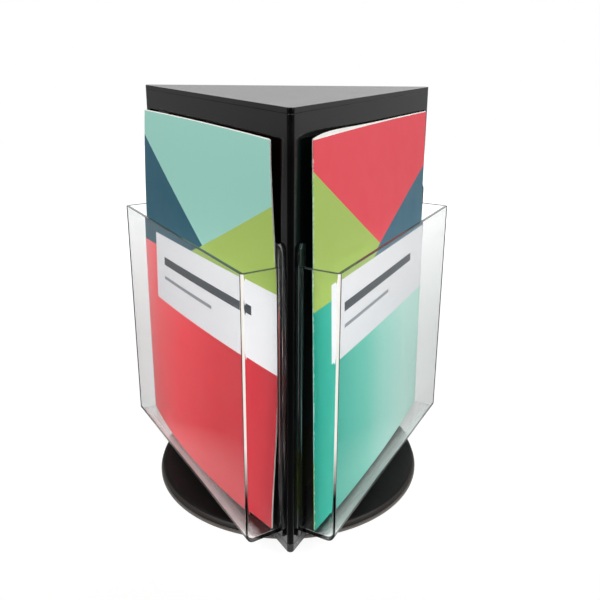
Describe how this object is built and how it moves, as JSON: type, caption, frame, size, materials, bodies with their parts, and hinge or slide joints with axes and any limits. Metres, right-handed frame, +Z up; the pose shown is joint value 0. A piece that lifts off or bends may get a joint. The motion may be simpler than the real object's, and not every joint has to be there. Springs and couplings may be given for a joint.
{
  "type": "rotating brochure holder",
  "caption": "Triangular tabletop brochure holder with a clear pocket on each face, turning on a ball-bearing swivel in a round base.",
  "frame": {"origin": "on the table, under the middle of the non-slip pad, on the axis of the swivel", "axes": "+Z up along the swivel's axis; +Y out of the back face, so that one corner of the body points along -Y"},
  "size_m": [0.2824, 0.2595, 0.325],
  "materials": {
    "pad": "matte",
    "base_black": "satin",
    "plate_steel": "zinc plated",
    "screw_steel": "zinc plated",
    "cage": "matte",
    "ball_steel": "polished",
    "body_black": "gloss",
    "key_black": "matte",
    "clear": "clear",
    "cover_lime": "coated",
    "cover_red": "coated",
    "cover_mint": "coated",
    "pages": "uncoated"
  },
  "bodies": {
    "base": {"base_pad": "pad", "base_disc": "base_black", "swivel_lower_plate": "plate_steel", "lower_plate_screws": "screw_steel"},
    "ball_ring": {"ball_cage": "cage", "swivel_balls": "ball_steel"},
    "rotor": {"swivel_upper_plate": "plate_steel", "upper_plate_screws": "screw_steel", "bottom_plate": "body_black", "corner_screws": "screw_steel", "side_panel_back": "body_black", "side_panel_left": "body_black", "side_panel_right": "body_black", "corner_key_front": "key_black", "corner_key_left": "key_black", "corner_key_right": "key_black", "top_cap": "body_black", "pocket_back": "clear", "pocket_left": "clear", "pocket_right": "clear"},
    "brochure_back": {"cover_back": "cover_lime", "pages_back": "pages"},
    "brochure_left": {"cover_left": "cover_red", "pages_left": "pages"},
    "brochure_right": {"cover_right": "cover_mint", "pages_right": "pages"}
  },
  "joints": [
    {"name": "turn", "type": "hinge", "parent": "base", "child": "rotor", "pos_m": [0, 0, 0.008], "axis": [0, 0, 1], "continuous": true},
    {"name": "ball_ring_turn", "type": "hinge", "parent": "base", "child": "ball_ring", "pos_m": [0, 0, 0.008], "axis": [0, 0, 1], "continuous": true},
    {"name": "lift_back", "type": "slide", "parent": "rotor", "child": "brochure_back", "axis": [0, 0.03, 0.9996], "range_m": [0, 0.205]},
    {"name": "lift_left", "type": "slide", "parent": "rotor", "child": "brochure_left", "axis": [-0.026, -0.015, 0.9996], "range_m": [0, 0.205]},
    {"name": "lift_right", "type": "slide", "parent": "rotor", "child": "brochure_right", "axis": [0.026, -0.015, 0.9996], "range_m": [0, 0.205]}
  ],
  "couplings": [
    {"joint": "ball_ring_turn", "follows": "turn", "ratio": 0.5}
  ]
}
